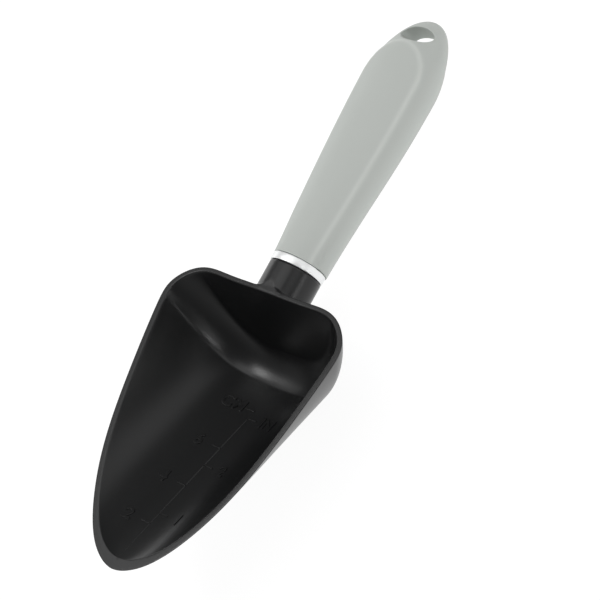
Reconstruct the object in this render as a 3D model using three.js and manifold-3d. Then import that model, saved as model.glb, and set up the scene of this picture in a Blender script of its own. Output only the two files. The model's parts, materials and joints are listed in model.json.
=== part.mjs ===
// Short-handled hand scoop: a black moulded scoop with its neck and tang, a bright ring
// round the joint, and a grey handle pushed over the tang. Millimetres, +Z up.
//
// The shapes are drawn in the scoop's own frame: the flat rim lies in z = 0, x = 0 is the
// plane of symmetry, and +Y runs from the tip to the handle's end. The finished tool is then
// leaned back by restTilt and lifted by restLift, so that it lies on z = 0 on the scoop's
// underside and the handle's, with the scoop open upwards.
import * as THREE from 'three';
import { mergeVertices } from 'three/addons/utils/BufferGeometryUtils.js';
import Module from 'manifold-3d';

const wasm = await Module();
wasm.setup();

// ---------------------------------------------------------------- driving dimensions
const gap = 0.3;                 // clearance between pieces that touch
const axisZ = -10;               // the neck's and handle's axis, below the rim
const restTilt = 6.428;          // degrees that the tool leans back when it lies down
const restLift = 44.908;          // height of the frame's origin above the table
const restShift = -115.19;      // puts the middle of the tool's length at y = 0

const scoop = {
  // right half of the opening's outline, a B-spline's control points from tip to back
  outline: [[0, 2.1], [8, 4.3], [18, 12.4], [30, 35.8], [36.2, 63.8],
    [41.2, 96.1], [41.4, 104.2], [31.9, 113.3], [19.3, 112], [0, 112.7]],
  rimSide: 2.4,                  // width of the flat rim along the sides
  rimBack: 1.8,                  // at the back
  rimTip: 4.5,                   // at the tip, where the rim cuts the floor aslant
  floorSlope: 21.1,              // degrees that the floor falls from the tip
  wallSlope: 66,                 // degrees that the back wall leans
  wallFillet: 9.5,               // radius between the back wall and the floor
  cornerFillet: 12.5,            // and between the back wall and the sides
  outsideMore: 1.8,              // how much larger both radii are on the outside
  filletBend: [1.5, 2],          // exponent of the fillets, inside and outside: 2 is a circle
  fullness: [2.6, 3],            // exponent of the trough's section, at its two ends
  fullnessY: [20, 112],          // y of those ends
  sidesTo: 94,                   // y up to which the sides are free of the back corners
  sidesLead: 12,                 // length whose lean the sides keep beyond that
  fanFrom: 62,                   // y where the sections start to fan round to the back wall
  fanFoot: 92,                   // y where the last section meets the middle line
  crowd: 1.45,                   // crowds a section's points towards the rim
  lid: 12,                       // height to which the hollow is cut clear above the rim
};

const neck = {
  radius: 10.35,
  end: 125.5,
  root: 109.8,                   // y where the axis meets the back wall's outside
  lean: 0.445,                   // how far the wall there leans forward for each mm of depth
  fillet: 1.6,
  sunk: 6,                       // how far the neck starts inside the wall
  flatTop: [0.35, -0.6],         // height of the rim's run-out on the neck, and at the wall
};
const ring = { radius: 10.62, from: 125.8, to: 128.9, edge: 0.25 };
const spigot = { radius: 8.6, end: 134 };
const tang = { end: 188, half: [7.2, 6.2], endHalf: [5.2, 4.4], power: 3.2 };

const handle = {
  start: 129.2,
  shoulder: 206,                 // y where the end starts to round off
  end: 234.8,
  frontHalf: 10.75,              // half width at the ring
  fullHalf: 14.7,                // half width at the shoulder
  panelHalf: [8.95, 13],         // half width of the top panel, at the ring and the shoulder
  panelEnd: 220.6,               // y where the panel's round end lies
  sidePush: 1.03,                // how far a section's side control points lie outside it
  endPush: 0.2,                  // and the last section's outside the end
  keelHalf: [0.78, 0.86],        // half width of the underside, as a part of the section's
  keelBack: 3.5,                 // how far the underside's edge stops short of the end
  // heights over the axis, at the ring, the shoulder and the end
  crown: [10.9, 10.7, 10.7],     // the panel's middle
  ridge: [6.6, 7.6, 10.2],       // the panel's edge
  waist: [0.3, 0.3, -0.6],       // the widest line
  keel: [-7.6, -8.5, -4.2],      // the underside's edge
  belly: [-10.9, -12.1, -9.5],   // the underside's middle
  tall: [3.2, 2.6, 3.3],         // half height of the side's upright part
  ease: [0.3, 0.12],             // how softly the panel's edge is rounded, first and later on
};
const hangHole = { y: 225.95, half: [7.3, 3.8], from: -35, through: 40 };

// ---------------------------------------------------------------- curves
const smooth = (t) => {
  const s = THREE.MathUtils.clamp(t, 0, 1);
  return s * s * (3 - 2 * s);
};
const mix = (a, b, t) => a + (b - a) * t;

// a point of the uniform cubic B-spline span p0..p3
function splinePoint(p, t) {
  const w = [(1 - t) ** 3, 3 * t ** 3 - 6 * t * t + 4, -3 * t ** 3 + 3 * t * t + 3 * t + 1, t ** 3];
  return p[0].map((_, k) => (w[0] * p[0][k] + w[1] * p[1][k] + w[2] * p[2][k] + w[3] * p[3][k]) / 6);
}

// a curve from plane x = 0 to plane x = 0, whose control points are mirrored past both ends
function mirroredSpline(control, perSpan) {
  const flip = (p) => [-p[0], ...p.slice(1)];
  const all = [flip(control[1]), ...control, flip(control.at(-2))];
  const points = [];
  for (let i = 0; i + 3 < all.length; i += 1) {
    for (let k = 0; k < perSpan; k += 1) points.push(splinePoint(all.slice(i, i + 4), k / perSpan));
  }
  points.push(splinePoint(all.slice(-4), 1));
  points[0][0] = 0;
  points.at(-1)[0] = 0;
  return points;
}

// the same curve with count points, evenly spaced along it
function evenly(points, count) {
  const run = [0];
  for (let i = 1; i < points.length; i += 1) {
    run.push(run[i - 1] + Math.hypot(...points[i].map((c, k) => c - points[i - 1][k])));
  }
  return Array.from({ length: count }, (_, n) => {
    const at = (run.at(-1) * n) / (count - 1);
    const i = Math.min(Math.max(run.findIndex((r) => r >= at), 1), points.length - 1);
    const t = (at - run[i - 1]) / (run[i] - run[i - 1]);
    return points[i].map((c, k) => mix(points[i - 1][k], c, t));
  });
}

// one closed loop from its right half: the left half is the mirror image
function closeLoop(half) {
  const left = half.slice(1, -1).reverse().map(([x, y, z]) => [-x, y, z]);
  return [...half, ...left];
}

// ---------------------------------------------------------------- solids
function asManifold(geometry) {
  const bare = geometry.clone();
  ['normal', 'uv'].forEach((name) => bare.deleteAttribute(name));
  const merged = mergeVertices(bare, 1e-3);
  const index = Array.from(merged.index.array);
  const kept = [];
  for (let i = 0; i < index.length; i += 3) {
    const [a, b, c] = index.slice(i, i + 3);
    if (a !== b && b !== c && c !== a) kept.push(a, b, c);
  }
  const mesh = new wasm.Mesh({
    numProp: 3,
    vertProperties: new Float32Array(merged.attributes.position.array),
    triVerts: new Uint32Array(kept),
  });
  const solid = new wasm.Manifold(mesh);
  return solid.volume() > 0 ? solid : asManifold(flipped(merged, kept));
}

function flipped(geometry, index) {
  const turned = geometry.clone();
  turned.setIndex(index.map((_, i) => index[i - (i % 3) + (2 - (i % 3))]));
  return turned;
}

function asGeometry(solid) {
  const { vertProperties, triVerts } = solid.getMesh();
  const geometry = new THREE.BufferGeometry();
  geometry.setAttribute('position', new THREE.Float32BufferAttribute(vertProperties, 3));
  geometry.setIndex(Array.from(triVerts));
  geometry.computeVertexNormals();
  return geometry;
}

// skin between rings of equal count; an end that isn't already a line is closed by a fan
function loft(rings, closeStart = true, closeEnd = true) {
  const count = rings[0].length;
  const position = rings.flat().flat();
  const index = [];
  const at = (r, i) => r * count + (i % count);
  for (let r = 0; r + 1 < rings.length; r += 1) {
    for (let i = 0; i < count; i += 1) {
      index.push(at(r, i), at(r, i + 1), at(r + 1, i + 1), at(r, i), at(r + 1, i + 1), at(r + 1, i));
    }
  }
  const fan = (r, turn) => {
    const centre = [0, 1, 2].map((k) => rings[r].reduce((s, p) => s + p[k], 0) / count);
    const c = position.length / 3;
    position.push(...centre);
    for (let i = 0; i < count; i += 1) {
      const [a, b] = turn ? [i, i + 1] : [i + 1, i];
      index.push(c, at(r, a), at(r, b));
    }
  };
  if (closeStart) fan(0, false);
  if (closeEnd) fan(rings.length - 1, true);
  const geometry = new THREE.BufferGeometry();
  geometry.setAttribute('position', new THREE.Float32BufferAttribute(position, 3));
  geometry.setIndex(index);
  return asManifold(geometry);
}

// a ring in a plane of constant y: a superellipse with half axes a (x) and b (z)
function ovalRing(y, a, b, power = 2, count = 32) {
  return Array.from({ length: count }, (_, i) => {
    const t = (2 * Math.PI * i) / count;
    const bend = (c, size) => size * Math.sign(c) * Math.abs(c) ** (2 / power);
    return [bend(Math.cos(t), a), y, axisZ + bend(Math.sin(t), b)];
  });
}

// ---------------------------------------------------------------- the scoop's shell
// the outline moved outwards, by the rim's width for the way that each stretch faces
function rimOutside(half) {
  return half.map(([x, y], i) => {
    const before = half[Math.max(i - 1, 0)];
    const after = half[Math.min(i + 1, half.length - 1)];
    const normal = new THREE.Vector2(after[1] - before[1], before[0] - after[0]).normalize();
    if (i === 0) normal.set(0, -1);
    if (i === half.length - 1) normal.set(0, 1);
    const tip = Math.max(-normal.y, 0) ** 3;
    const back = Math.max(normal.y, 0) ** 2;
    const width = scoop.rimSide * (1 - tip - back) + scoop.rimTip * tip + scoop.rimBack * back;
    return [x + normal.x * width, y + normal.y * width];
  });
}

// y of the point on the middle line that each outline point's section runs down to
function sectionFeet(half) {
  const run = [0];
  half.slice(1).forEach((p, i) => {
    run.push(run[i] + Math.hypot(p[0] - half[i][0], p[1] - half[i][1]));
  });
  const first = half.findIndex((p) => p[1] > scoop.fanFrom);
  const left = run.at(-1) - run[first];
  const start = half[first][1];
  const climb = (half[first + 1][1] - start) / (run[first + 1] - run[first]);
  const ease = Math.max((left * climb) / (scoop.fanFoot - start), 1);
  return half.map((p, i) => {
    if (i <= first) return p[1];
    const t = (run[i] - run[first]) / left;
    return start + (scoop.fanFoot - start) * (1 - (1 - t) ** ease);
  });
}

// half width of the trough at y: its sides run on straight past the back corners
function troughWidth(half, y) {
  const sides = half.filter((p) => p[1] < scoop.sidesTo);
  const at = (wanted) => {
    const i = Math.max(sides.findIndex((p) => p[1] >= wanted), 1);
    const [a, b] = [sides[i - 1], sides[i]];
    return mix(a[0], b[0], (wanted - a[1]) / (b[1] - a[1]));
  };
  const [endX, endY] = sides.at(-1);
  if (y < endY) return Math.max(at(y), 1e-6);
  return endX + ((endX - at(endY - scoop.sidesLead)) * (y - endY)) / scoop.sidesLead;
}

// height of the hollow over (x, y): where the trough and the back wall, rounded into each
// other by a fillet, are both behind the point
function hollowHeight(half, x, y, more) {
  const fall = Math.tan(THREE.MathUtils.degToRad(scoop.floorSlope));
  const lean = THREE.MathUtils.degToRad(scoop.wallSlope);
  const [from, to] = scoop.fullnessY;
  const power = mix(...scoop.fullness, smooth((y - from) / (to - from)));
  const width = troughWidth(half, y);
  const part = x / width;
  const depth = fall * (y - half[0][1]);
  const trough = -depth * (1 - part ** power);
  const across = (depth * power * part ** (power - 1)) / width;
  const troughTurn = 1 / Math.hypot(1, across, fall * (1 - part ** power));
  const wall = -(half.at(-1)[1] - y) * Math.tan(lean);
  const widest = Math.max(...half.map((p) => p[0]));
  const bend = scoop.filletBend[more > 0 ? 1 : 0];
  const radius = more + mix(scoop.wallFillet, scoop.cornerFillet, Math.min(x / widest, 1) ** 2);
  let [low, high] = [-60, 25];
  while (high - low > 1e-6) {
    const z = (low + high) / 2;
    const d1 = (trough - z) * troughTurn;
    const d2 = (wall - z) * Math.cos(lean);
    const both = Math.max(radius + d1, 0) ** bend + Math.max(radius + d2, 0) ** bend;
    if (Math.min(-radius, Math.max(d1, d2)) + both ** (1 / bend) > 0) low = z;
    else high = z;
  }
  return low;
}

// the rings of a hollow, from its outline in z = 0 down to its middle line
function bowlRings(half, levels, more) {
  const feet = sectionFeet(half);
  const above = half.map(([x, y]) => hollowHeight(half, x, y, more));
  return Array.from({ length: levels + 1 }, (_, level) => {
    const reach = 1 - (level / levels) ** scoop.crowd;
    return closeLoop(half.map((p, i) => {
      const [x, y] = [p[0] * reach, mix(feet[i], p[1], reach)];
      return [x, y, hollowHeight(half, x, y, more) - above[i] * reach ** 6];
    }));
  });
}

function shellSolids() {
  const inside = evenly(mirroredSpline(scoop.outline, 12), 41);
  const outside = rimOutside(inside);
  const hollow = bowlRings(inside, 16, 0);
  const lid = hollow[0].map(([x, y]) => [x, y, scoop.lid]);
  return {
    body: loft(bowlRings(outside, 16, scoop.outsideMore), true, false),
    hollow: loft([lid, ...hollow], true, false),
  };
}

// ---------------------------------------------------------------- neck, spigot and tang
// the neck flares into the back wall by a fillet whose rings lean as the wall does
function neckSolid() {
  const steps = 5;
  const climb = Array.from({ length: steps + 1 }, (_, k) => neck.fillet * (k / steps) ** 1.6);
  const foot = [-neck.sunk, ...climb];
  const rings = foot.map((out) => {
    const left = Math.min(neck.fillet - out, neck.fillet);
    const radius = neck.radius + neck.fillet - Math.sqrt(neck.fillet ** 2 - left ** 2);
    const lean = neck.lean * (left / neck.fillet);
    const top = mix(...neck.flatTop, left / neck.fillet);
    return ovalRing(neck.root + out, radius, radius)
      .map(([x, y, z]) => [x, y + lean * (z - axisZ), Math.min(z, top)]);
  });
  rings.push(ovalRing(neck.end, neck.radius, neck.radius));
  rings.push(ovalRing(neck.end, spigot.radius, spigot.radius));
  rings.push(ovalRing(spigot.end, spigot.radius, spigot.radius));
  rings.push(ovalRing(spigot.end, ...tang.half, tang.power));
  rings.push(ovalRing(tang.end, ...tang.endHalf, tang.power));
  return loft(rings);
}

function scoopGeometry() {
  const { body, hollow } = shellSolids();
  return asGeometry(body.add(neckSolid()).subtract(hollow));
}

// ---------------------------------------------------------------- ring
function ringGeometry() {
  const bore = spigot.radius + gap;
  const { radius, from, to, edge } = ring;
  const profile = [[bore, from], [radius - edge, from], [radius, from + edge],
    [radius, to - edge], [radius - edge, to], [bore, to], [bore, from]];
  const lathe = new THREE.LatheGeometry(profile.map((p) => new THREE.Vector2(...p)), 48);
  lathe.translate(0, 0, axisZ);
  return asGeometry(asManifold(lathe));
}

// ---------------------------------------------------------------- handle
// control points of half a section: top middle, panel edge, side, lower edge, bottom middle
function sectionControl({ spine, edge, side, lower, top, ridge, waist, keel, bottom, ease, tall }) {
  const between = (a, b, t) => [mix(a[0], b[0], t), mix(a[1], b[1], t)];
  return [
    [...spine, top],
    [...between(spine, edge, 0.45), mix(top, ridge, 0.12)],
    [...between(spine, edge, 1 - ease), mix(ridge, top, 1.3 * ease)],
    [...edge, ridge],
    [...between(edge, side, 1.5 * ease), mix(ridge, waist, 1.95 * ease)],
    [...side, waist + tall],
    [...side, waist - tall],
    [...between(lower, side, 0.1), mix(keel, waist, 0.15)],
    [...lower, keel],
    [...between(spine, lower, 0.5), mix(bottom, keel, 0.1)],
    [...spine, bottom],
  ];
}

// sections square to the axis, from the ring to the shoulder
function straightSections(count) {
  return Array.from({ length: count + 1 }, (_, i) => {
    const t = i / count;
    const y = mix(handle.start, handle.shoulder, t);
    const settled = smooth(t / 0.25);
    const half = mix(handle.frontHalf, handle.fullHalf, Math.sin(0.5 * Math.PI * t ** 1.35));
    return sectionControl({
      spine: [0, y],
      edge: [mix(...handle.panelHalf, Math.sin(0.5 * Math.PI * t ** 1.1)), y],
      side: [handle.sidePush * half, y],
      lower: [half * mix(...handle.keelHalf, smooth(t / 0.8)), y],
      top: axisZ + mix(...handle.crown.slice(0, 2), t),
      ridge: axisZ + mix(...handle.ridge.slice(0, 2), t * t),
      waist: axisZ + handle.waist[0],
      keel: axisZ + mix(...handle.keel.slice(0, 2), t),
      bottom: axisZ + mix(...handle.belly.slice(0, 2), t),
      ease: mix(...handle.ease, settled),
      tall: mix(...handle.tall.slice(0, 2), settled),
    });
  });
}

// sections fanned round the shoulder's middle, which close the end
function endSections(count) {
  const sideHalf = handle.sidePush * handle.fullHalf;
  const keelHalf = handle.keelHalf[1] * handle.fullHalf;
  return Array.from({ length: count }, (_, i) => {
    const angle = (0.5 * Math.PI * (i + 1)) / count;
    const [c, s] = [i + 1 === count ? 0 : Math.cos(angle), Math.sin(angle)];
    return sectionControl({
      spine: [0, handle.shoulder],
      edge: [handle.panelHalf[1] * c, mix(handle.shoulder, handle.panelEnd, s)],
      side: [sideHalf * c, mix(handle.shoulder, handle.end + handle.endPush, s)],
      lower: [keelHalf * c, mix(handle.shoulder, handle.end - handle.keelBack, s)],
      top: axisZ + handle.crown[1],
      ridge: axisZ + mix(...handle.ridge.slice(1), s * s),
      waist: axisZ + mix(...handle.waist.slice(1), s * s),
      keel: axisZ + mix(...handle.keel.slice(1), s * s),
      bottom: axisZ + mix(...handle.belly.slice(1), s * s),
      ease: handle.ease[1],
      tall: mix(...handle.tall.slice(1), s),
    });
  });
}

function handleGeometry() {
  const sections = [...straightSections(14), ...endSections(9)];
  const body = loft(sections.map((s) => closeLoop(mirroredSpline(s, 2))), true, false);
  const bore = spigot.radius + gap;
  const socket = loft([
    ovalRing(handle.start - 2, bore, bore),
    ovalRing(spigot.end + gap, bore, bore),
    ovalRing(spigot.end + gap, tang.half[0] + gap, tang.half[1] + gap, tang.power),
    ovalRing(tang.end + gap, tang.endHalf[0] + gap, tang.endHalf[1] + gap, tang.power),
  ]);
  const oval = new THREE.Shape();
  oval.absellipse(0, hangHole.y, ...hangHole.half, 0, 2 * Math.PI);
  const through = { depth: hangHole.through, bevelEnabled: false, curveSegments: 20 };
  const punch = new THREE.ExtrudeGeometry(oval, through);
  punch.translate(0, 0, hangHole.from);
  return asGeometry(body.subtract(socket).subtract(asManifold(punch)));
}

// ---------------------------------------------------------------- assembly
const black = new THREE.MeshStandardMaterial({ color: 0x1c1c1d, roughness: 0.42, metalness: 0 });
const bright = new THREE.MeshStandardMaterial({ color: 0xd9dcdd, roughness: 0.22, metalness: 0.95 });
const grey = new THREE.MeshStandardMaterial({ color: 0xb0b8b3, roughness: 0.55, metalness: 0 });

function piece(name, geometry, material) {
  const mesh = new THREE.Mesh(geometry, material);
  mesh.name = name;
  return mesh;
}

const tool = new THREE.Group();
tool.add(
  piece('scoop', scoopGeometry(), black),
  piece('ferrule_ring', ringGeometry(), bright),
  piece('handle', handleGeometry(), grey),
);
tool.rotation.x = -THREE.MathUtils.degToRad(restTilt);
tool.position.set(0, restShift, restLift);

const root = new THREE.Group();
root.add(tool);

export default root;
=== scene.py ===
"""Looks of the hand scoop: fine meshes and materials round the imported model.

The shapes are worked out in the tool's own frame, in millimetres: the flat rim lies in z = 0,
x = 0 is the plane of symmetry and +Y runs from the tip to the handle's end. Each finished mesh
is then put in the row frame, in metres, by the place and direction of the record's rim mount.
"""
import json
import math

import bmesh
import bpy
import numpy as np
from mathutils import Matrix, Vector
from mathutils.bvhtree import BVHTree
from mathutils.kdtree import KDTree


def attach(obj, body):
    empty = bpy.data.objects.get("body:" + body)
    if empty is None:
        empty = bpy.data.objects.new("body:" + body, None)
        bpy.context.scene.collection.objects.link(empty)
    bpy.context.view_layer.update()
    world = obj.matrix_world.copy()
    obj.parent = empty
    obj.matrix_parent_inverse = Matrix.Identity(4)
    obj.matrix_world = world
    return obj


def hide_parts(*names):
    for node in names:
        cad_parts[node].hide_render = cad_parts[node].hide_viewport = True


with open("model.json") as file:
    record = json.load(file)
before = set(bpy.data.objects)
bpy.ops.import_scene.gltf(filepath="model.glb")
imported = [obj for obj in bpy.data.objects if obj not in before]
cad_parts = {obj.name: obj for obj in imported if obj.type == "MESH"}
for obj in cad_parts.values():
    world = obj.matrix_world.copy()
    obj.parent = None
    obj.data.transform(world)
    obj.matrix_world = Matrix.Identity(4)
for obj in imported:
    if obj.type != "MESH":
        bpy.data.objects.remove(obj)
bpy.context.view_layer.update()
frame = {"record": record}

MM = 0.001
AXIS_Z = -10.0  # the neck's and handle's axis, below the rim
GAP = 0.3  # clearance between pieces that touch
RIM_MOUNT_Y = 0.6  # y of the rim mount's point
SHARP, HANDLE_SHARP = 38, 60  # degrees from which an edge is drawn sharp

# ---------------------------------------------------------------- the scoop, mm
OUTLINE = [(0, 2.1), (8, 4.3), (18, 12.4), (30, 35.8), (36.2, 63.8),
           (41.2, 96.1), (41.4, 104.2), (31.9, 113.3), (19.3, 112), (0, 112.7)]
RIM_SIDE, RIM_BACK, RIM_TIP = 2.4, 1.8, 4.5  # width of the flat rim
FLOOR_SLOPE = 21.1  # degrees that the floor falls from the tip
WALL_SLOPE = 66.0  # degrees that the back wall leans
WALL_FILLET, CORNER_FILLET = 9.5, 12.5  # where the back wall meets the floor, and at the corners
OUTER_FILLET = 1.8  # how much larger those radii are outside
FILLET_BEND = (1.5, 2.0)  # exponent of those fillets, inside and outside: 2 is a circle
FULLNESS, FULLNESS_Y = (2.6, 3.0), (20, 112)  # exponent of the hollow's section, between two y
SIDES_TO = 94.0  # y up to which the outline's sides are free of the back corners
SIDES_LEAD = 12.0  # length of side that gives the direction in which it runs on
WIDEST = 1.3  # how far past its half width a section is worked out
FAN_FROM, FAN_FOOT = 62.0, 92.0  # y where the sections start to fan round, and of their last foot
CROWDING, LEVELLING = 1.45, 6  # how a section's points crowd to the rim, and end level with it
LOWEST, HIGHEST, HALVINGS = -60.0, 25.0, 36  # range of the search for the hollow's height
INNER_ROUND, OUTER_ROUND = 0.4, 0.5  # rounding of the rim's edges
GROOVE_HALF, GROOVE_DEPTH = 0.2, 0.2  # the depth scale's middle line
RULER_ZERO, RULER_END = 0.8, 73.5  # y where the scale starts and its line ends
NECK_RADIUS, NECK_END, NECK_FILLET = 10.35, 125.5, 1.6
NECK_SUNK, NECK_EDGE = 0.9, 0.3  # how deep the root ends in the wall, and the far edge's rounding
NECK_BAND = 1.0  # how far past its fillet the root's surface is reworked
BACK_FROM, BACK_BELOW = 100, -2  # the part of the shell that the neck's root can touch
OUTSIDE_FROM, HOLLOW_Y, DOWNWARD = 60, 75, -18  # the shell's outside, seen from the hollow
RIM_RUNOUT = (114.2, 118.5)  # y range over which the rim's plane runs out on the neck
SPIGOT_RADIUS, SPIGOT_END = 8.6, 134.0
TANG_END, TANG_HALF, TANG_END_HALF, TANG_POWER = 188.0, (7.2, 6.2), (5.2, 4.4), 3.2

# ---------------------------------------------------------------- the ring and handle, mm
RING_RADIUS, RING_FROM, RING_TO, RING_EDGE = 10.62, 125.8, 128.9, 0.25
HANDLE_START, SHOULDER, HANDLE_END = 129.03, 206.0, 234.8
FRONT_HALF, FULL_HALF = 10.75, 14.7  # half width at the ring and at the shoulder
PANEL_HALF, PANEL_END = (8.95, 13.0), 220.6
SIDE_REACH = 1.03  # how far the side's control points lie past the half width
LOWER_HALF = (0.78, 0.86)  # half width of the lower edge, as a part of the whole
LOWER_SHORT, SIDE_PAST = 3.5, 0.2  # where the lower edge and the side end, from the handle's end
# Heights from the axis, each at the ring, at the shoulder and at the end.
CROWN = (10.9, 10.7, 10.7)
PANEL_EDGE = (6.6, 7.6, 10.2)
WAIST = (0.3, 0.3, -0.6)
KEEL = (-7.6, -8.5, -4.2)
BELLY = (-10.9, -12.1, -9.5)
TALL = (3.2, 2.6, 3.3)  # half height of the side's upright stretch
EASE = (0.3, 0.12)  # how softly the panel's edge is rounded, at the ring and from SETTLED on
SETTLED, LOWER_SETTLED = 0.25, 0.8  # parts of the grip over which the round front gives way
SWELL, PANEL_SWELL = 1.35, 1.1  # exponents of the way in which the grip and its panel widen
GRIP_SECTIONS, END_SECTIONS = 80, 41
RIDGE, RIDGE_HIGHLIGHT_WIDTH = 3, 1.0  # a section's control point on the panel's edge, and the width of the painted highlight along it
FRONT_ROUND = 0.15  # rounding of the handle's edge beside the ring
HOLE_Y, HOLE_HALF, HOLE_ROUND = 225.95, (7.3, 3.8), 0.6
HOLE_BAND, HOLE_DEPTH = 1.45, 2.0  # the reworked surface round the hole, in its sizes and in mm
HOLE_FROM, HOLE_TO, HOLE_STEP = -30, 8, 0.5  # z of the hole's wall
ROOT_MESH, HOLE_MESH = 0.5, 0.45  # longest edges beside the neck's root and the hang hole

# ---------------------------------------------------------------- the depth scale
INCH, TWO_CM, RULER_LAST = 25.4, 20, 80  # the ticks' steps, and the last tick's distance
TICK_LENGTH, TICK_WIDTH, TICK_EDGE, MARK_HEIGHT = 4.2, 0.55, 0.12, 0.28
LABEL_SIZE = 7.0  # font size that gives figures about 5 mm high
LABEL_EDGE = 0.06  # bevel round a figure's top
LABEL_WEIGHT = 0.14  # how much the strokes are thickened on each side
LABEL_STEP = 0.7  # longest edge on a figure, so that it follows the curved floor
LABELS = [("2", -10.2, TWO_CM), ("4", -10.4, 2 * TWO_CM), ("6", -10.2, 3 * TWO_CM),
          ("CM", -9.8, 4 * TWO_CM), ("1", 9.4, INCH), ("2", 9.0, 2 * INCH), ("IN", 9.6, 3 * INCH)]

# ---------------------------------------------------------------- looks
BLACK = {"dark": (0.0045, 0.0047, 0.005), "light": (0.0065, 0.0067, 0.007),
         "roughness": (0.27, 0.32), "gloss": 0.40, "grain": 2600, "bump": 0.25}
GREY = {"dark": (0.495, 0.519, 0.494), "light": (0.520, 0.546, 0.521),
        "roughness": (0.48, 0.54), "gloss": 0.18, "grain": 2200, "bump": 0.3}
BAND = {"dark": (0.8, 0.81, 0.81), "light": (0.9, 0.91, 0.91), "roughness": (0.38, 0.48)}
BAND_LINES = (60, 5200, 60)  # how fine the lines round the band are, along x, y and z
DRIFT_SCALE, GRAIN_DEPTH = 45, 0.00005  # size of the colour's drift, and depth of the grain
RIDGE_HIGHLIGHT_COLOUR, RIDGE_HIGHLIGHT_STRENGTH = (0.92, 0.95, 0.91, 1), 0.22  # the painted highlight along the ridge: its colour, and how much of it is mixed into the grey

# ---------------------------------------------------------------- light, in the row frame
FLOOR_HALF = 3.0
FLOOR_SHADE, FLOOR_GLOW = 0.16, 0.92  # the floor's reflectance, and its own light
BRIGHT_SIDE = (-0.35, -0.55, -0.75)  # where the room is brightest
SKY_SPREAD, SKY_RANGE = (-0.45, 0.45), (0.18, 0.95)  # cosine to that side, and radiance
SOFTBOX_DISTANCE = 1.2
SOFTBOXES = {  # direction, size and radiance
    "key": ((-0.37, -0.02, 0.91), (0.38, 0.38), 7.8),
    "front": ((0.79, -0.10, 0.59), (0.22, 0.22), 8.5),
    "right": ((0.97, 0.19, 0.16), (0.4, 0.25), 3.2),
    "left": ((-0.62, 0.20, 0.74), (0.8, 0.6), 0.8),
    "low": ((-0.93, 0.36, 0.10), (0.9, 0.2), 1.7),
    "back": ((0.60, 0.50, 0.62), (0.8, 0.8), 1.0),
    "top": ((0, 0.30, 0.95), (0.8, 0.8), 1.5),
}

# ---------------------------------------------------------------- camera
AZIMUTH, ELEVATION, ROLL = 72.78, 49.85, -47.81  # degrees, against the rim's plane
AIM = (7.95, 116.6, -10.0)
DISTANCE, LENS, SENSOR = 1005.9, 166.1, 36
NEAREST, FARTHEST = 0.05, 20  # metres that the camera sees


# ---------------------------------------------------------------- curves and meshes
def smooth(t):
    s = np.clip(t, 0, 1)
    return s * s * (3 - 2 * s)


def mix(a, b, t):
    return a + (b - a) * t


def mirrored_spline(control, per_span):
    """A cubic B-spline from x = 0 to x = 0, whose control points are mirrored past both ends."""
    points = np.asarray(control, float)
    flip = np.ones(points.shape[1])
    flip[0] = -1
    points = np.concatenate([points[1:2] * flip, points, points[-2:-1] * flip])
    t = np.arange(per_span + 1) / per_span
    weights = np.stack([(1 - t) ** 3, 3 * t**3 - 6 * t * t + 4,
                        -3 * t**3 + 3 * t * t + 3 * t + 1, t**3], 1) / 6
    spans = [(weights @ points[i:i + 4])[:-1] for i in range(len(points) - 3)]
    curve = np.concatenate([*spans, weights[-1:] @ points[-4:]])
    curve[[0, -1], 0] = 0
    return curve


def run_along(points):
    """Distance of each point along its polyline."""
    return np.concatenate([[0], np.cumsum(np.linalg.norm(np.diff(points, axis=0), axis=1))])


def at_runs(points, runs, wanted):
    return np.stack([np.interp(wanted, runs, points[:, k]) for k in range(points.shape[1])], 1)


def evenly(points, count):
    runs = run_along(points)
    return at_runs(points, runs, np.linspace(0, runs[-1], count))


def close_loops(halves):
    """Closed loops from their right halves: the left half is the mirror image."""
    left = halves[:, -2:0:-1] * (-1, 1, 1)
    return np.concatenate([halves, left], 1)


def oval(y, half_x, half_z, power=2.0, count=96):
    t = 2 * math.pi * np.arange(count) / count
    c, s = np.cos(t), np.sin(t)
    x = half_x * np.sign(c) * np.abs(c) ** (2 / power)
    z = half_z * np.sign(s) * np.abs(s) ** (2 / power)
    return np.stack([x, np.full(count, y), AXIS_Z + z], 1)


def loft(rings, closed_ends=(True, True)):
    """A closed skin through rings of equal count. An end that is not already a line gets a lid."""
    rings = np.asarray(rings, float)
    rows, count = rings.shape[:2]
    bm = bmesh.new()
    verts = [[bm.verts.new(p) for p in ring] for ring in rings]
    for r in range(rows - 1):
        for i in range(count):
            j = (i + 1) % count
            bm.faces.new((verts[r][i], verts[r][j], verts[r + 1][j], verts[r + 1][i]))
    for row, wanted in zip((0, -1), closed_ends):
        if wanted:
            centre = bm.verts.new(rings[row].mean(0))
            for i in range(count):
                bm.faces.new((verts[row][i], verts[row][(i + 1) % count], centre))
    bmesh.ops.remove_doubles(bm, verts=bm.verts, dist=1e-4)
    bmesh.ops.dissolve_degenerate(bm, edges=bm.edges, dist=1e-5)
    bmesh.ops.recalc_face_normals(bm, faces=bm.faces)
    return bm


def plain_object(name, bm):
    mesh = bpy.data.meshes.new(name)
    bm.to_mesh(mesh)
    bm.free()
    obj = bpy.data.objects.new(name, mesh)
    bpy.context.collection.objects.link(obj)
    return obj


def combine(bm, other, operation):
    """The union or difference of two closed skins, as a new skin."""
    a, b = plain_object("combine_a", bm), plain_object("combine_b", other)
    step = a.modifiers.new("combine", "BOOLEAN")
    step.operation, step.solver, step.object = operation, "EXACT", b
    made = bmesh.new()
    made.from_object(a, bpy.context.evaluated_depsgraph_get())
    for obj in (a, b):
        bpy.data.objects.remove(obj)
    bmesh.ops.remove_doubles(made, verts=made.verts, dist=1e-3)
    return made


def tree_of(bm, keep=lambda centre: True):
    """A search tree of those faces whose centre is wanted."""
    bm.verts.index_update()
    points = [v.co.copy() for v in bm.verts]
    faces = [[v.index for v in f.verts] for f in bm.faces if keep(f.calc_center_median())]
    return BVHTree.FromPolygons(points, faces)


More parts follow.
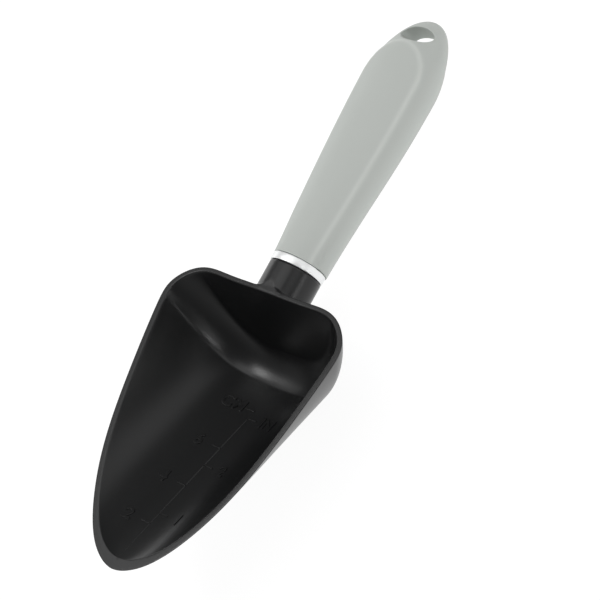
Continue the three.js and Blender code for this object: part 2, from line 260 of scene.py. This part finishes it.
def skin_distance(tree, p):
    """Signed distance from a skin and the direction in which it grows."""
    where, normal, _, far = tree.find_nearest(p)
    if far < 1e-4:
        return 0.0, normal
    side = 1 if (p - where).dot(normal) > 0 else -1
    return side * far, side * (p - where) / far


def refine(bm, inside, size):
    """Splits the edges of a region until none is longer than size."""
    for _ in range(4):
        faces = [f for f in bm.faces if len(f.verts) > 3 and inside(f.calc_center_median())]
        bmesh.ops.triangulate(bm, faces=faces)
        long_edges = [e for e in bm.edges
                      if e.calc_length() > size and all(inside(v.co) for v in e.verts)]
        if not long_edges:
            return
        bmesh.ops.subdivide_edges(bm, edges=long_edges, cuts=1)
        bmesh.ops.triangulate(bm, faces=[f for f in bm.faces if len(f.verts) > 4])


def settle(bm, inside, field, steps=6):
    """Moves a region's points on to the surface where field is 0."""
    for v in bm.verts:
        if not inside(v.co):
            continue
        for _ in range(steps):
            value, slope = field(v.co)
            if abs(value) < 1e-3:
                break
            v.co -= slope * (value / max(slope.length_squared, 0.2))


def finish_piece(name, bm, material, nodes=(), sharp=SHARP):
    """The finished object in the row frame, on its body, in place of its CAD nodes."""
    bmesh.ops.remove_doubles(bm, verts=bm.verts, dist=5e-3)
    bmesh.ops.dissolve_degenerate(bm, edges=bm.edges, dist=1e-3)
    bmesh.ops.recalc_face_normals(bm, faces=bm.faces)
    bm.transform(TO_ROW)
    obj = plain_object(name, bm)
    obj.data.shade_smooth()
    obj.data.set_sharp_from_angle(angle=math.radians(sharp))
    obj.data.materials.append(material)
    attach(obj, "root")
    if nodes:
        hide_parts(*nodes)
    return obj


def tool_to_row():
    """The tool's frame in millimetres to the row frame in metres, from the rim's mount."""
    mount = next(m for m in frame["record"]["mounts"] if m["name"] == "rim_face")
    up = Vector(mount["axis"]).normalized()
    along = Vector((1, 0, 0)).cross(up) * -1
    turn = Matrix((Vector((1, 0, 0)), along, up)).transposed()
    rim_point = Vector((0, RIM_MOUNT_Y * MM, 0))
    shift = Vector(mount["pos_m"]) - turn @ rim_point
    return Matrix.Translation(shift) @ turn.to_4x4() @ Matrix.Scale(MM, 4)


TO_ROW = tool_to_row()


# ---------------------------------------------------------------- the scoop
def rim_outside(half):
    """The outline moved outwards by the rim's width for the way that each stretch faces."""
    along = np.gradient(half, axis=0)
    normal = np.stack([along[:, 1], -along[:, 0]], 1)
    normal /= np.linalg.norm(normal, axis=1)[:, None]
    normal[0], normal[-1] = (0, -1), (0, 1)
    tip = np.maximum(-normal[:, 1], 0) ** 3
    back = np.maximum(normal[:, 1], 0) ** 2
    width = RIM_SIDE * (1 - tip - back) + RIM_TIP * tip + RIM_BACK * back
    return half + normal * width[:, None]


def section_feet(half):
    """y of the point on the hollow's middle line that each outline point's section runs to."""
    runs = run_along(half)
    first = int(np.argmax(half[:, 1] > FAN_FROM))
    left, start = runs[-1] - runs[first], half[first, 1]
    climb = (half[first + 1, 1] - start) / (runs[first + 1] - runs[first])
    ease = max(left * climb / (FAN_FOOT - start), 1)
    t = np.clip((runs - runs[first]) / left, 0, 1)
    fanned = start + (FAN_FOOT - start) * (1 - (1 - t) ** ease)
    return np.where(np.arange(len(half)) <= first, half[:, 1], fanned)


def trough_width(half, y):
    """Half width of the sides, which run on straight past the rim's back corners."""
    sides = half[half[:, 1] < SIDES_TO]
    end_x, end_y = sides[-1]
    slope = (end_x - np.interp(end_y - SIDES_LEAD, sides[:, 1], sides[:, 0])) / SIDES_LEAD
    run_on = end_x + slope * (y - end_y)
    return np.where(y > end_y, run_on, np.interp(y, sides[:, 1], sides[:, 0]))


def hollow_height(half, x, y, extra):
    """Height of the hollow over (x, y): a sloping trough and a leaning back wall, with a fillet."""
    fall = math.tan(math.radians(FLOOR_SLOPE))
    width = np.maximum(trough_width(half, y), 1e-6)
    power = mix(*FULLNESS, smooth((y - FULLNESS_Y[0]) / (FULLNESS_Y[1] - FULLNESS_Y[0])))
    depth = fall * (y - half[0, 1])
    part = np.clip(x / width, 0, WIDEST)
    trough = -depth * (1 - part**power)
    steep_across = depth * power * part ** (power - 1) / width
    steep_along = fall * (1 - part**power)
    trough_lean = 1 / np.sqrt(1 + steep_across**2 + steep_along**2)
    wall = -(half[-1, 1] - y) * math.tan(math.radians(WALL_SLOPE))
    wall_lean = math.cos(math.radians(WALL_SLOPE))
    radius = extra + mix(WALL_FILLET, CORNER_FILLET, np.clip(x / half[:, 0].max(), 0, 1) ** 2)
    bend = FILLET_BEND[0 if extra == 0 else 1]
    low, high = np.full(x.shape, LOWEST), np.full(x.shape, HIGHEST)
    for _ in range(HALVINGS):
        z = (low + high) / 2
        d1, d2 = (trough - z) * trough_lean, (wall - z) * wall_lean
        a, b = np.maximum(radius + d1, 0), np.maximum(radius + d2, 0)
        rounded = (a**bend + b**bend) ** (1 / bend)
        outside = np.minimum(-radius, np.maximum(d1, d2)) + rounded > 0
        low, high = np.where(outside, z, low), np.where(outside, high, z)
    return (low + high) / 2


def bowl_sections(half, extra, levels=240):
    """Each outline point's section, from the middle line up to the rim."""
    feet = section_feet(half)
    reach = (1 - (np.arange(levels, -1, -1) / levels) ** CROWDING)[:, None]
    x = half[:, 0] * reach
    y = mix(feet, half[:, 1], reach)
    z = hollow_height(half, x, y, extra)
    return np.stack([x, y, z - z[-1] * reach**LEVELLING], 2)


def rounded_corner(before, corner, after, steps=5):
    t = np.linspace(0, 1, steps + 1)[:, None]
    return (1 - t) ** 2 * before + 2 * t * (1 - t) * corner + t * t * after


def wall_column(section, edge_round, levels, groove=0.0):
    """One section at even steps, ending short of the rim's edge by its rounding."""
    runs = run_along(section)
    size = min(edge_round, 0.2 * runs[-1])
    top = runs[-1] - size
    first = top / levels
    near = [0, min(GROOVE_HALF, 0.3 * first), min(2 * GROOVE_HALF, 0.6 * first)]
    wanted = np.concatenate([near, np.linspace(first, top, levels)])
    points = at_runs(section, runs, wanted)
    points[0, 2] -= groove * near[1] / GROOVE_HALF
    return points, size


def shell_skin(columns=221, levels=56):
    """The shell with rounded rim edges and the middle line's groove."""
    inside = evenly(mirrored_spline(OUTLINE, per_span=40), columns)
    outside = rim_outside(inside)
    inner, outer = bowl_sections(inside, 0), bowl_sections(outside, OUTER_FILLET)
    feet = section_feet(inside)
    window = smooth((feet - RULER_ZERO) / 3) * smooth((RULER_END - feet) / 1.5)
    halves = []
    for i in range(columns):
        wall_in, size_in = wall_column(inner[:, i], INNER_ROUND, levels, GROOVE_DEPTH * window[i])
        wall_out, size_out = wall_column(outer[:, i], OUTER_ROUND, levels)
        corner_in, corner_out = inner[-1, i], outer[-1, i]
        across = (corner_out - corner_in) / np.linalg.norm(corner_out - corner_in)
        lip_in = rounded_corner(wall_in[-1], corner_in, corner_in + across * size_in)
        lip_out = rounded_corner(corner_out - across * size_out, corner_out, wall_out[-1])
        flat = [mix(lip_in[-1], lip_out[0], t) for t in (0.33, 0.67)]
        halves.append(np.concatenate([wall_in[:-1], lip_in, flat, lip_out, wall_out[-2::-1]]))
    return loft(close_loops(np.array(halves).transpose(1, 0, 2)), (False, False))


def neck_skin(shell_tree, count=96):
    """The neck, spigot and tang. Its root ends inside the back wall, whose slope it follows."""
    circle = oval(0, 1, 1, count=count)
    direction = np.stack([circle[:, 0], np.zeros(count), circle[:, 2] - AXIS_Z], 1)

    def on_wall(radius, inward):
        ring = np.array([0, 0, AXIS_Z]) + direction * radius
        for p in ring:
            eye = Vector((p[0], NECK_END, min(p[2], -OUTER_ROUND)))
            p[1] = shell_tree.ray_cast(eye, Vector((0, -1, 0)))[0].y - inward
        return ring

    root = on_wall(NECK_RADIUS, 0)
    rings = [on_wall(NECK_RADIUS * part, NECK_SUNK) for part in (0.35, 0.7, 1)]
    last = oval(NECK_END - NECK_EDGE, NECK_RADIUS, NECK_RADIUS, count=count)
    rings += [mix(root, last, t) for t in np.linspace(0.02, 1, 30)]
    rounding = 0.3 * NECK_EDGE
    for y, radius in ((NECK_END - rounding, NECK_RADIUS - rounding),
                      (NECK_END, NECK_RADIUS - NECK_EDGE),
                      (NECK_END, SPIGOT_RADIUS),
                      (SPIGOT_END, SPIGOT_RADIUS)):
        rings.append(oval(y, radius, radius, count=count))
    rings.append(oval(SPIGOT_END, *TANG_HALF, TANG_POWER, count))
    rings.append(oval(TANG_END, *TANG_END_HALF, TANG_POWER, count))
    return loft(rings)


def rounded_union(d1, g1, d2, g2, radius):
    a, b = max(radius - d1, 0), max(radius - d2, 0)
    length = math.hypot(a, b)
    value = max(radius, min(d1, d2)) - length
    slope = (g1 * a + g2 * b) / length if length > 1e-6 else g1
    return value, slope


def rounded_cut(d1, g1, d2, g2, radius):
    a, b = max(radius + d1, 0), max(radius + d2, 0)
    length = math.hypot(a, b)
    value = min(-radius, max(d1, d2)) + length
    slope = (g1 * a + g2 * b) / length if length > 1e-6 else g1
    return value, slope


def skin_side(tree, centre):
    """True for a face of the shell's outside: nothing lies beyond it, away from the hollow."""
    outward = Vector((centre.x, centre.y - HOLLOW_Y, DOWNWARD))
    outward.normalize()
    hit = tree.ray_cast(centre + outward * 0.05, outward)[0]
    return hit is None


def scoop_skin():
    """The shell and the neck in one skin, with the fillet at the neck's root."""
    shell = shell_skin()
    rim_back = max(v.co.y for v in shell.verts)
    tree = tree_of(shell)
    root_front = rim_back - RIM_BACK + 0.5

    def outer_side(centre):
        return centre.y > OUTSIDE_FROM and skin_side(tree, centre)

    outer_tree = tree_of(shell, outer_side)
    skin = combine(shell, neck_skin(outer_tree), "UNION")

    def near_root(p):
        past = math.hypot(p.x, p.z - AXIS_Z) - NECK_RADIUS
        if not -NECK_BAND < past < NECK_FILLET + NECK_BAND:
            return False
        if p.y > root_front:
            return p.y < NECK_END - 1
        on_back = p.y > BACK_FROM and p.z < BACK_BELOW
        return on_back and abs(skin_distance(outer_tree, p)[0]) < 1e-2

    def field(p):
        across = Vector((p.x, 0, p.z - AXIS_Z))
        radial = across.length
        wall = skin_distance(outer_tree, p)
        return rounded_union(*wall, radial - NECK_RADIUS, across / radial, NECK_FILLET)

    refine(skin, near_root, ROOT_MESH)
    settle(skin, near_root, field)
    for v in skin.verts:
        if v.co.y < NECK_END - 1:
            free = smooth((v.co.y - RIM_RUNOUT[0]) / (RIM_RUNOUT[1] - RIM_RUNOUT[0]))
            v.co.z = min(v.co.z, (NECK_RADIUS + AXIS_Z) * free)
    return skin


# ---------------------------------------------------------------- the ring
def ring_skin(segments=160):
    bore = SPIGOT_RADIUS + GAP
    corner = [(RING_EDGE * (1 - math.sin(a)), RING_RADIUS - RING_EDGE * (1 - math.cos(a)))
              for a in np.linspace(0, math.pi / 2, 4)]
    front = [(RING_FROM + inset, radius) for inset, radius in corner[::-1]]
    back = [(RING_TO - inset, radius) for inset, radius in corner]
    profile = [(RING_FROM, bore), *front, *back, (RING_TO, bore)]
    rings = [oval(y, r, r, count=segments) for y, r in profile]
    rings.append(rings[0])
    return loft(rings, (False, False))


# ---------------------------------------------------------------- the handle
def section_control(spine, edge, side, lower, top, ridge, waist, keel, bottom, ease, tall):
    """Half a section's control points: top middle, panel edge, side, lower edge, bottom middle."""
    def between(a, b, t):
        return mix(np.array(a), np.array(b), t)

    return np.array([
        [*spine, top],
        [*between(spine, edge, 0.45), mix(top, ridge, 0.12)],
        [*between(spine, edge, 1 - ease), mix(ridge, top, 1.3 * ease)],
        [*edge, ridge],
        [*between(edge, side, 1.5 * ease), mix(ridge, waist, 1.95 * ease)],
        [*side, waist + tall],
        [*side, waist - tall],
        [*between(lower, side, 0.1), mix(keel, waist, 0.15)],
        [*lower, keel],
        [*between(spine, lower, 0.5), mix(bottom, keel, 0.1)],
        [*spine, bottom],
    ])


def straight_section(t):
    """Square to the axis, at t from the ring (0) to the shoulder (1)."""
    y = mix(HANDLE_START, SHOULDER, t)
    settled = smooth(t / SETTLED)
    half = mix(FRONT_HALF, FULL_HALF, math.sin(0.5 * math.pi * t**SWELL))
    panel = mix(*PANEL_HALF, math.sin(0.5 * math.pi * t**PANEL_SWELL))
    lower = half * mix(*LOWER_HALF, smooth(t / LOWER_SETTLED))
    return section_control(
        (0, y), (panel, y), (SIDE_REACH * half, y), (lower, y),
        AXIS_Z + mix(*CROWN[:2], t), AXIS_Z + mix(*PANEL_EDGE[:2], t * t),
        AXIS_Z + mix(*WAIST[:2], t), AXIS_Z + mix(*KEEL[:2], t), AXIS_Z + mix(*BELLY[:2], t),
        mix(*EASE, settled), mix(*TALL[:2], settled))


def end_section(t):
    """Fanned round the shoulder's middle, at t from the shoulder (0) to the end's middle (1)."""
    c, s = math.cos(0.5 * math.pi * t), math.sin(0.5 * math.pi * t)
    c = 0 if t == 1 else c
    return section_control(
        (0, SHOULDER), (PANEL_HALF[1] * c, mix(SHOULDER, PANEL_END, s)),
        (SIDE_REACH * FULL_HALF * c, mix(SHOULDER, HANDLE_END + SIDE_PAST, s)),
        (LOWER_HALF[1] * FULL_HALF * c, mix(SHOULDER, HANDLE_END - LOWER_SHORT, s)),
        AXIS_Z + mix(*CROWN[1:], s * s), AXIS_Z + mix(*PANEL_EDGE[1:], s * s),
        AXIS_Z + mix(*WAIST[1:], s * s), AXIS_Z + mix(*KEEL[1:], s * s),
        AXIS_Z + mix(*BELLY[1:], s * s), EASE[1], mix(*TALL[1:], s))


def handle_sections():
    grip = [straight_section(t) for t in np.linspace(0, 1, GRIP_SECTIONS)]
    end = [end_section(t) for t in np.linspace(0, 1, END_SECTIONS)[1:]]
    return grip + end


def handle_skin():
    """The grip, with a rounded front edge, the tang's socket and the hang hole."""
    halves = np.array([mirrored_spline(s, per_span=8) for s in handle_sections()])
    rings = close_loops(halves)
    first = rings[0].copy()
    axis = np.array([0, HANDLE_START, AXIS_Z])
    lips = []
    for angle in np.linspace(0, math.pi / 2, 5)[:-1]:
        scale = 1 - FRONT_ROUND * (1 - math.sin(angle)) / FRONT_HALF
        lip = axis + (first - axis) * scale
        lip[:, 1] += FRONT_ROUND * (1 - math.cos(angle))
        lips.append(lip)
    rings[0][:, 1] += FRONT_ROUND
    body = loft([*lips, *rings], (True, False))
    tree = tree_of(body)
    skin = combine(combine(body, socket_skin(), "DIFFERENCE"), hole_skin(), "DIFFERENCE")

    def hole_place(p):
        u, v = p.x / HOLE_HALF[0], (p.y - HOLE_Y) / HOLE_HALF[1]
        return math.hypot(u, v), Vector((u / HOLE_HALF[0], v / HOLE_HALF[1], 0))

    def near_hole(p):
        return hole_place(p)[0] < HOLE_BAND and skin_distance(tree, p)[0] > -HOLE_DEPTH

    def field(p):
        size, slope = hole_place(p)
        slope = slope / size
        far = (size - 1) / slope.length
        d1, g1 = skin_distance(tree, p)
        return rounded_cut(d1, g1, -far, -slope.normalized(), HOLE_ROUND)

    refine(skin, near_hole, HOLE_MESH)
    settle(skin, near_hole, field)
    return skin


def ridge_line():
    """The line along the panel's edge, as points on the handle's skin."""
    half = [(s[RIDGE - 1] + 4 * s[RIDGE] + s[RIDGE + 1]) / 6 for s in handle_sections()]
    return half + [p * (-1, 1, 1) for p in half]


def mark_ridge_highlight(obj):
    """Stores how near each point lies to the ridge, for the highlight painted into the material there."""
    line = ridge_line()
    tree = KDTree(len(line))
    for i, p in enumerate(line):
        tree.insert(TO_ROW @ Vector(p), i)
    tree.balance()
    near = obj.data.attributes.new("ridge", "FLOAT", "POINT")
    for v in obj.data.vertices:
        far = tree.find(v.co)[2] / MM
        near.data[v.index].value = float(np.exp(-((far / RIDGE_HIGHLIGHT_WIDTH) ** 2)))


def socket_skin():
    bore = SPIGOT_RADIUS + GAP
    return loft([
        oval(HANDLE_START - 2, bore, bore),
        oval(SPIGOT_END + GAP, bore, bore),
        oval(SPIGOT_END + GAP, TANG_HALF[0] + GAP, TANG_HALF[1] + GAP, TANG_POWER),
        oval(TANG_END + GAP, TANG_END_HALF[0] + GAP, TANG_END_HALF[1] + GAP, TANG_POWER),
    ])


def hole_skin(count=96):
    t = 2 * math.pi * np.arange(count) / count
    x, y = HOLE_HALF[0] * np.cos(t), HOLE_Y + HOLE_HALF[1] * np.sin(t)
    heights = np.arange(HOLE_FROM, HOLE_TO + HOLE_STEP / 2, HOLE_STEP)
    return loft([np.stack([x, y, np.full(count, z)], 1) for z in heights])


# ---------------------------------------------------------------- the depth scale
def scale_skin(floor_tree):
    """Raised ticks and figures on the hollow's floor, sunk a little into it."""
    made = bmesh.new()
    slope = math.cos(math.radians(FLOOR_SLOPE))

    def on_floor(bm, x, y):
        for v in bm.verts:
            above = Vector((x + v.co.x, y + v.co.y * slope, 1))
            where, normal, _, _ = floor_tree.ray_cast(above, Vector((0, 0, -1)))
            v.co = where + normal * v.co.z
        mesh = bpy.data.meshes.new("mark")
        bm.to_mesh(mesh)
        bm.free()
        made.from_mesh(mesh)
        bpy.data.meshes.remove(mesh)

    for step, side in ((TWO_CM, -1), (INCH, 1)):
        for n in range(1, int(RULER_LAST // step) + 1):
            on_floor(tick_bar(), side * TICK_LENGTH / 2, RULER_ZERO + n * step * slope)
    for text, x, run in LABELS:
        on_floor(label_skin(text), x, RULER_ZERO + run * slope)
    return made


def tick_bar():
    bm = bmesh.new()
    bmesh.ops.create_cube(bm, size=1)
    for v in bm.verts:
        v.co.x *= TICK_LENGTH
        v.co.y *= TICK_WIDTH
        v.co.z = MARK_HEIGHT if v.co.z > 0 else -MARK_HEIGHT
    top = [e for e in bm.edges if any(v.co.z > 0 for v in e.verts)]
    bmesh.ops.bevel(bm, geom=top, offset=TICK_EDGE, segments=3, profile=0.5, affect="EDGES")
    cuts = [e for e in bm.edges if abs(e.verts[0].co.x - e.verts[1].co.x) > 1]
    bmesh.ops.subdivide_edges(bm, edges=cuts, cuts=6)
    return bm


def label_skin(text):
    curve = bpy.data.curves.new("label", "FONT")
    curve.body, curve.size = text, LABEL_SIZE
    curve.align_x, curve.align_y = "CENTER", "CENTER"
    curve.extrude, curve.bevel_depth = MARK_HEIGHT - LABEL_EDGE, LABEL_EDGE
    curve.bevel_resolution = 2
    curve.offset = LABEL_WEIGHT
    obj = bpy.data.objects.new("label", curve)
    bpy.context.collection.objects.link(obj)
    bm = bmesh.new()
    mesh = obj.evaluated_get(bpy.context.evaluated_depsgraph_get()).to_mesh()
    bm.from_mesh(mesh)
    bpy.data.objects.remove(obj)
    bpy.data.curves.remove(curve)
    bmesh.ops.remove_doubles(bm, verts=bm.verts, dist=1e-3)
    for _ in range(3):
        long_edges = [e for e in bm.edges if e.calc_length() > LABEL_STEP]
        bmesh.ops.subdivide_edges(bm, edges=long_edges, cuts=1)
        bmesh.ops.triangulate(bm, faces=bm.faces)
    return bm


# ---------------------------------------------------------------- materials
class Nodes:
    """A material's node tree, with short ways to add and join nodes."""

    def __init__(self, name):
        self.material = bpy.data.materials.new(name)
        self.material.use_nodes = True
        self.tree = self.material.node_tree
        self.shader = self.tree.nodes["Principled BSDF"]

    def set(self, **values):
        for name, value in values.items():
            self.shader.inputs[name.replace("_", " ")].default_value = value

    def add(self, kind, links=None, **settings):
        node = self.tree.nodes.new(kind)
        for name, value in settings.items():
            if hasattr(node, name):
                setattr(node, name, value)
            else:
                node.inputs[name.replace("_", " ")].default_value = value
        for name, source in (links or {}).items():
            self.tree.links.new(source, node.inputs[name])
        return node

    def to_shader(self, name, source):
        self.tree.links.new(source, self.shader.inputs[name])


def ramp(nodes, source, low, high):
    """source from 0..1 to low..high."""
    node = nodes.add("ShaderNodeMapRange", {"Value": source})
    node.inputs["To Min"].default_value = low
    node.inputs["To Max"].default_value = high
    return node.outputs["Result"]


def tinted(nodes, source, dark, light):
    node = nodes.add("ShaderNodeMix", {"Factor": source}, data_type="RGBA")
    node.inputs["A"].default_value = (*dark, 1)
    node.inputs["B"].default_value = (*light, 1)
    return node.outputs["Result"]


def moulded_plastic(name, dark, light, roughness, gloss, grain, bump):
    """Moulded plastic: faint colour drift, an even fine spark texture, drifting gloss."""
    nodes = Nodes(name)
    nodes.set(Specular_IOR_Level=gloss)
    place = nodes.add("ShaderNodeTexCoord").outputs["Object"]
    drift = nodes.add("ShaderNodeTexNoise", {"Vector": place}, Scale=DRIFT_SCALE, Detail=3).outputs["Fac"]
    fine = nodes.add("ShaderNodeTexNoise", {"Vector": place}, Scale=grain, Detail=2).outputs["Fac"]
    nodes.to_shader("Base Color", tinted(nodes, drift, dark, light))
    nodes.to_shader("Roughness", ramp(nodes, drift, *roughness))
    relief = nodes.add("ShaderNodeBump", {"Height": fine}, Strength=bump, Distance=GRAIN_DEPTH)
    nodes.to_shader("Normal", relief.outputs["Normal"])
    return nodes.material


def paint_ridge_highlight(material):
    """Paints a highlight along the ridge into the plastic's colour, lightening it where light would catch
    the panel's edge.
    """
    tree = material.node_tree
    base = tree.nodes["Principled BSDF"].inputs["Base Color"]
    plain = base.links[0].from_socket
    near = tree.nodes.new("ShaderNodeAttribute")
    near.attribute_name = "ridge"
    part = tree.nodes.new("ShaderNodeMath")
    part.operation = "MULTIPLY"
    part.inputs[1].default_value = RIDGE_HIGHLIGHT_STRENGTH
    highlighted = tree.nodes.new("ShaderNodeMix")
    highlighted.data_type = "RGBA"
    highlighted.inputs["B"].default_value = RIDGE_HIGHLIGHT_COLOUR
    tree.links.new(near.outputs["Fac"], part.inputs[0])
    tree.links.new(part.outputs[0], highlighted.inputs["Factor"])
    tree.links.new(plain, highlighted.inputs["A"])
    tree.links.new(highlighted.outputs["Result"], base)


def brushed_metal(name, dark, light, roughness):
    """Satin metal band with faint lines round it."""
    nodes = Nodes(name)
    nodes.set(Metallic=1.0, Anisotropic=0.35)
    place = nodes.add("ShaderNodeTexCoord").outputs["Object"]
    stretched = nodes.add("ShaderNodeMapping", {"Vector": place})
    stretched.inputs["Scale"].default_value = BAND_LINES
    across = stretched.outputs["Vector"]
    lines = nodes.add("ShaderNodeTexNoise", {"Vector": across}, Scale=1, Detail=2).outputs["Fac"]
    nodes.to_shader("Base Color", tinted(nodes, lines, dark, light))
    nodes.to_shader("Roughness", ramp(nodes, lines, *roughness))
    relief = nodes.add("ShaderNodeBump", {"Height": lines}, Strength=0.15, Distance=GRAIN_DEPTH)
    nodes.to_shader("Normal", relief.outputs["Normal"])
    return nodes.material


# ---------------------------------------------------------------- pieces
def build_pieces():
    black = moulded_plastic("black_moulding", **BLACK)
    grey = moulded_plastic("grey_moulding", **GREY)
    # the grey gets a painted highlight along the handle's ridge
    paint_ridge_highlight(grey)
    bright = brushed_metal("bright_band", **BAND)
    skin = scoop_skin()
    floor_tree = tree_of(skin)
    marks = scale_skin(floor_tree)
    finish_piece("scoop_moulding", skin, black, ["scoop"])
    finish_piece("depth_scale", marks, black)
    finish_piece("ferrule_band", ring_skin(), bright, ["ferrule_ring"])
    handle = finish_piece("handle_moulding", handle_skin(), grey, ["handle"],
                          HANDLE_SHARP)
    # stores where the ridge's painted highlight falls
    mark_ridge_highlight(handle)


# ---------------------------------------------------------------- stage, light and camera
def add_floor():
    bm = bmesh.new()
    bmesh.ops.create_grid(bm, x_segments=8, y_segments=8, size=FLOOR_HALF)
    floor = plain_object("floor", bm)
    nodes = Nodes("pale_floor")
    nodes.set(Base_Color=(FLOOR_SHADE, FLOOR_SHADE, FLOOR_SHADE, 1), Roughness=0.9)
    nodes.set(Specular_IOR_Level=0.1, Emission_Color=(1, 1, 1, 1), Emission_Strength=FLOOR_GLOW)
    floor.data.materials.append(nodes.material)


def softbox(name, direction, size, radiance):
    """A rectangular area light that faces the object from the given direction."""
    data = bpy.data.lights.new(name, "AREA")
    data.shape, data.size, data.size_y = "RECTANGLE", *size
    data.energy = radiance * math.pi * size[0] * size[1]
    light = bpy.data.objects.new(name, data)
    away = Vector(direction).normalized()
    light.location = away * SOFTBOX_DISTANCE
    light.rotation_mode = "QUATERNION"
    light.rotation_quaternion = (-away).to_track_quat("-Z", "Y")
    bpy.context.collection.objects.link(light)


def add_lights():
    world = bpy.data.worlds.new("studio")
    bpy.context.scene.world = world
    world.use_nodes = True
    tree = world.node_tree
    place = tree.nodes.new("ShaderNodeTexCoord")
    facing = tree.nodes.new("ShaderNodeVectorMath")
    facing.operation = "DOT_PRODUCT"
    facing.inputs[1].default_value = Vector(BRIGHT_SIDE).normalized()
    spread = tree.nodes.new("ShaderNodeMapRange")
    spread.interpolation_type = "SMOOTHSTEP"
    for side, limits in (("From", SKY_SPREAD), ("To", SKY_RANGE)):
        spread.inputs[side + " Min"].default_value = limits[0]
        spread.inputs[side + " Max"].default_value = limits[1]
    tree.links.new(place.outputs["Generated"], facing.inputs[0])
    tree.links.new(facing.outputs["Value"], spread.inputs["Value"])
    tree.links.new(spread.outputs["Result"], tree.nodes["Background"].inputs["Strength"])
    tree.nodes["Background"].inputs["Color"].default_value = (1, 1, 1, 1)
    for name, (direction, size, radiance) in SOFTBOXES.items():
        softbox(name, direction, size, radiance)


def add_camera():
    a, e, roll = (math.radians(v) for v in (AZIMUTH, ELEVATION, ROLL))
    back = Vector((math.sin(a) * math.cos(e), -math.cos(a) * math.cos(e), math.sin(e)))
    level = Vector((math.cos(a), math.sin(a), 0))
    upright = back.cross(level)
    right = level * math.cos(roll) + upright * math.sin(roll)
    up = back.cross(right)
    turn = TO_ROW.to_3x3() * (1 / MM)
    axes = Matrix((turn @ right, turn @ up, turn @ back)).transposed()
    data = bpy.data.cameras.new("camera")
    data.lens, data.sensor_width = LENS, SENSOR
    data.clip_start, data.clip_end = NEAREST, FARTHEST
    camera = bpy.data.objects.new("camera", data)
    place = TO_ROW @ (Vector(AIM) + back * DISTANCE)
    camera.matrix_world = Matrix.Translation(place) @ axes.to_4x4()
    bpy.context.collection.objects.link(camera)
    bpy.context.scene.camera = camera


bpy.context.scene.view_settings.view_transform = "Standard"
build_pieces()
add_floor()
add_lights()
add_camera()
